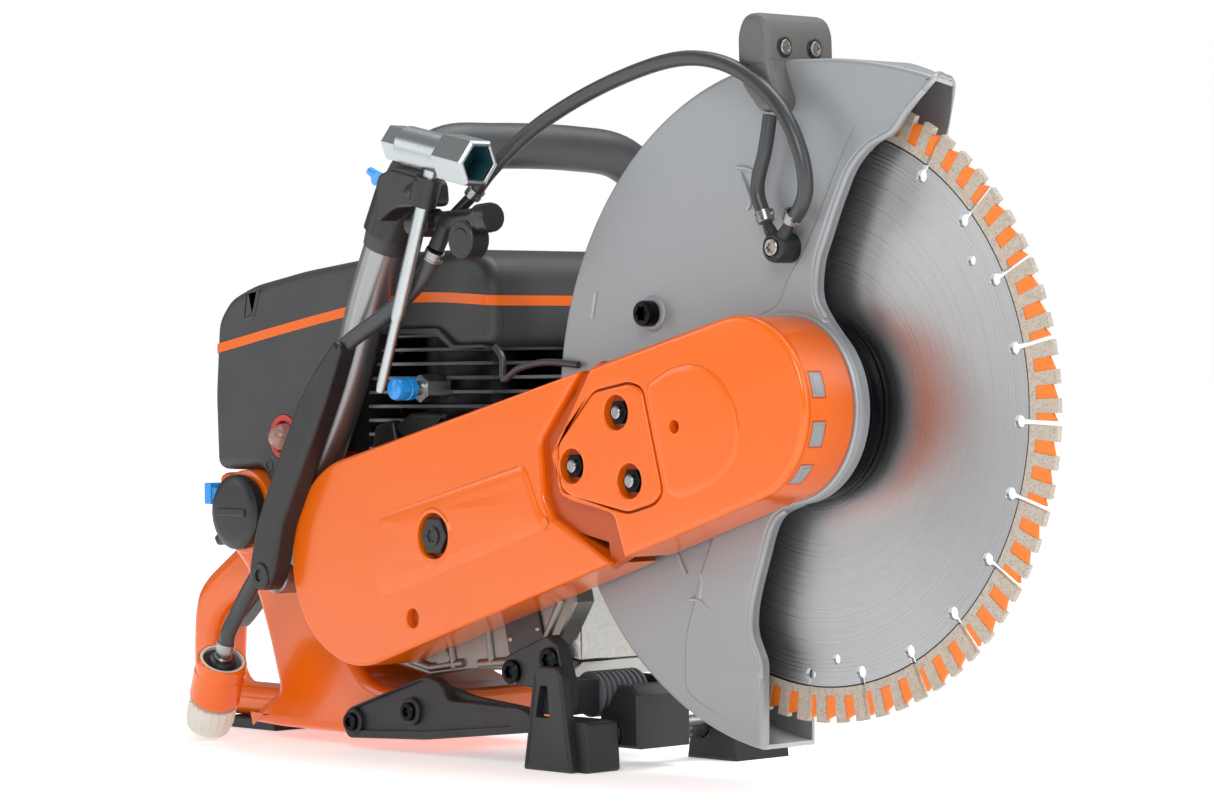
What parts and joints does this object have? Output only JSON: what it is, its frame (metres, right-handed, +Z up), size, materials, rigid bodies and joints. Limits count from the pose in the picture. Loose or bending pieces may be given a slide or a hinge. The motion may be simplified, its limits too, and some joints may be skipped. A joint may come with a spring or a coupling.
{
  "type": "concrete cut-off saw",
  "caption": "Petrol hand-held concrete cut-off saw: diamond blade under a tilting guard, belt-driven cutting arm, bow front handle, rear loop handle and water feed.",
  "frame": {"origin": "centre of the saw's footprint box at floor level, without the free end of the inlet hose", "axes": "+X forward towards the blade, +Y to the operator's left, across the machine and along the blade's axle, +Z up"},
  "size_m": [0.884, 0.2794, 0.489],
  "materials": {
    "orange_plastic": "glossy moulded plastic, fine flow texture",
    "dark_plastic": "matt spark-eroded texture",
    "black_plastic": "satin moulded plastic",
    "grip_rubber": "matt rubber",
    "hose_rubber": "satin extruded rubber",
    "belt_rubber": "matt ribbed rubber",
    "guard_metal": "satin grey powder coat",
    "blade_steel": "ground steel, fine circular lay",
    "steel": "turned steel",
    "zinc_steel": "bright zinc plate",
    "chrome": "polished chrome plate",
    "cast_aluminium": "as-cast aluminium",
    "handle_metal": "silver paint",
    "silencer_steel": "bright pressed stainless steel",
    "fin_aluminium": "black-coated aluminium with bare fin edges",
    "flange_black": "black burnished",
    "blue_plastic": "gloss blue plastic",
    "pale_plastic": "pale grey plastic",
    "bulb_plastic": "clear amber bulb",
    "rope": "braided cord",
    "ceramic": "glazed insulator and plug cap",
    "filter_foam": "oiled foam"
  },
  "bodies": {
    "machine": {"spindle_bearing": "steel", "drive_belt": "belt_rubber", "cutting_arm": "cast_aluminium", "front_belt_guard": "orange_plastic", "rear_belt_cover": "orange_plastic", "arm_nut_1": "zinc_steel", "arm_nut_2": "zinc_steel", "arm_nut_3": "zinc_steel", "arc_hose": "hose_rubber", "water_valve": "black_plastic", "inlet_hose": "hose_rubber", "hose_guide": "dark_plastic", "inlet_tail": "hose_rubber", "coupler_body": "pale_plastic", "front_handle_tube": "handle_metal", "handle_grip": "grip_rubber", "wrench_holder": "dark_plastic", "crankcase": "cast_aluminium", "cylinder": "fin_aluminium", "spark_plug": "ceramic", "decompression_valve": "chrome", "muffler": "silencer_steel", "carburettor": "cast_aluminium", "air_filter": "filter_foam", "starter_housing": "dark_plastic", "starter_rope": "rope", "top_cover": "dark_plastic", "fuel_tank_handle": "orange_plastic", "side_bracket": "black_plastic", "foot_bracket": "black_plastic", "front_foot_right": "dark_plastic", "front_foot_left": "grip_rubber", "rear_foot": "grip_rubber", "cross_tube": "steel", "front_support": "dark_plastic", "damping_spring": "grip_rubber"},
    "blade_assembly": {"blade": "blade_steel", "inner_flange": "flange_black", "outer_flange": "cast_aluminium", "blade_bolt": "zinc_steel", "spindle_shaft": "steel", "driven_pulley": "cast_aluminium"},
    "crank_assembly": {"crankshaft": "steel", "flywheel": "cast_aluminium", "clutch_drum": "steel"},
    "guard_assembly": {"blade_guard": "guard_metal", "guard_grip": "dark_plastic", "guard_water_fitting": "black_plastic", "guard_hose": "hose_rubber"},
    "throttle_trigger": {"throttle_trigger": "orange_plastic"},
    "throttle_lockout": {"throttle_lockout": "black_plastic"},
    "choke_lever": {"choke_lever": "blue_plastic"},
    "fuel_cap": {"fuel_cap": "dark_plastic"},
    "primer_bulb": {"primer_bulb": "bulb_plastic"},
    "decompression_button": {"decompression_button": "blue_plastic"},
    "starter_handle": {"starter_handle": "black_plastic"},
    "belt_tensioner": {"belt_tensioner": "black_plastic"},
    "water_valve_lever": {"water_valve_lever": "blue_plastic"},
    "combination_wrench": {"combination_wrench": "chrome"},
    "coupler_sleeve": {"coupler_sleeve": "orange_plastic"}
  },
  "joints": [
    {"name": "blade_spin", "type": "hinge", "parent": "machine", "child": "blade_assembly", "pos_m": [0.242, -0.03997, 0.242], "axis": [0, 1, 0], "continuous": true},
    {"name": "crank_spin", "type": "hinge", "parent": "machine", "child": "crank_assembly", "pos_m": [-0.138, -0.03997, 0.136], "axis": [0, 1, 0], "continuous": true},
    {"name": "guard_tilt", "type": "hinge", "parent": "machine", "child": "guard_assembly", "pos_m": [0.242, -0.03997, 0.242], "axis": [0, 1, 0], "range_deg": [-9, 45], "deforming": ["arc_hose"]},
    {"name": "throttle_pull", "type": "hinge", "parent": "machine", "child": "throttle_trigger", "pos_m": [-0.358, -0.03997, 0.114], "axis": [0, 1, 0], "range_deg": [0, 7], "stiffness_Nm_per_rad": 0.5},
    {"name": "lockout_press", "type": "hinge", "parent": "machine", "child": "throttle_lockout", "pos_m": [-0.37, -0.03997, 0.151], "axis": [0, -1, 0], "range_deg": [0, 8], "stiffness_Nm_per_rad": 0.4},
    {"name": "choke_pull", "type": "slide", "parent": "machine", "child": "choke_lever", "axis": [-1, 0, 0], "range_m": [0, 0.012]},
    {"name": "fuel_cap_turn", "type": "hinge", "parent": "machine", "child": "fuel_cap", "pos_m": [-0.311, -0.03997, 0.166], "axis": [0, 1, 0], "range_deg": [0, 90]},
    {"name": "primer_press", "type": "slide", "parent": "machine", "child": "primer_bulb", "axis": [0, 1, 0], "range_m": [0, 0.006], "stiffness_N_per_m": 500},
    {"name": "decompression_press", "type": "slide", "parent": "machine", "child": "decompression_button", "axis": [0, 1, 0], "range_m": [0, 0.004], "stiffness_N_per_m": 900},
    {"name": "starter_pull", "type": "slide", "parent": "machine", "child": "starter_handle", "axis": [0, 0, 1], "range_m": [0, 0.5], "stiffness_N_per_m": 25, "deforming": ["starter_rope"]},
    {"name": "tensioner_turn", "type": "hinge", "parent": "machine", "child": "belt_tensioner", "pos_m": [-0.052, -0.03997, 0.156], "axis": [0, 1, 0], "range_deg": [0, 90]},
    {"name": "water_valve_turn", "type": "hinge", "parent": "machine", "child": "water_valve_lever", "pos_m": [-0.135, -0.03997, 0.4025], "axis": [0, 1, 0], "range_deg": [0, 40]},
    {"name": "wrench_lift", "type": "slide", "parent": "machine", "child": "combination_wrench", "axis": [0.3591, 0, 0.9333], "range_m": [0, 0.15]},
    {"name": "coupler_release", "type": "slide", "parent": "machine", "child": "coupler_sleeve", "axis": [0.5271, -0.167, 0.8332], "range_m": [0, 0.006], "stiffness_N_per_m": 500}
  ],
  "couplings": [
    {"joint": "crank_spin", "follows": "blade_spin", "ratio": 1.875}
  ]
}
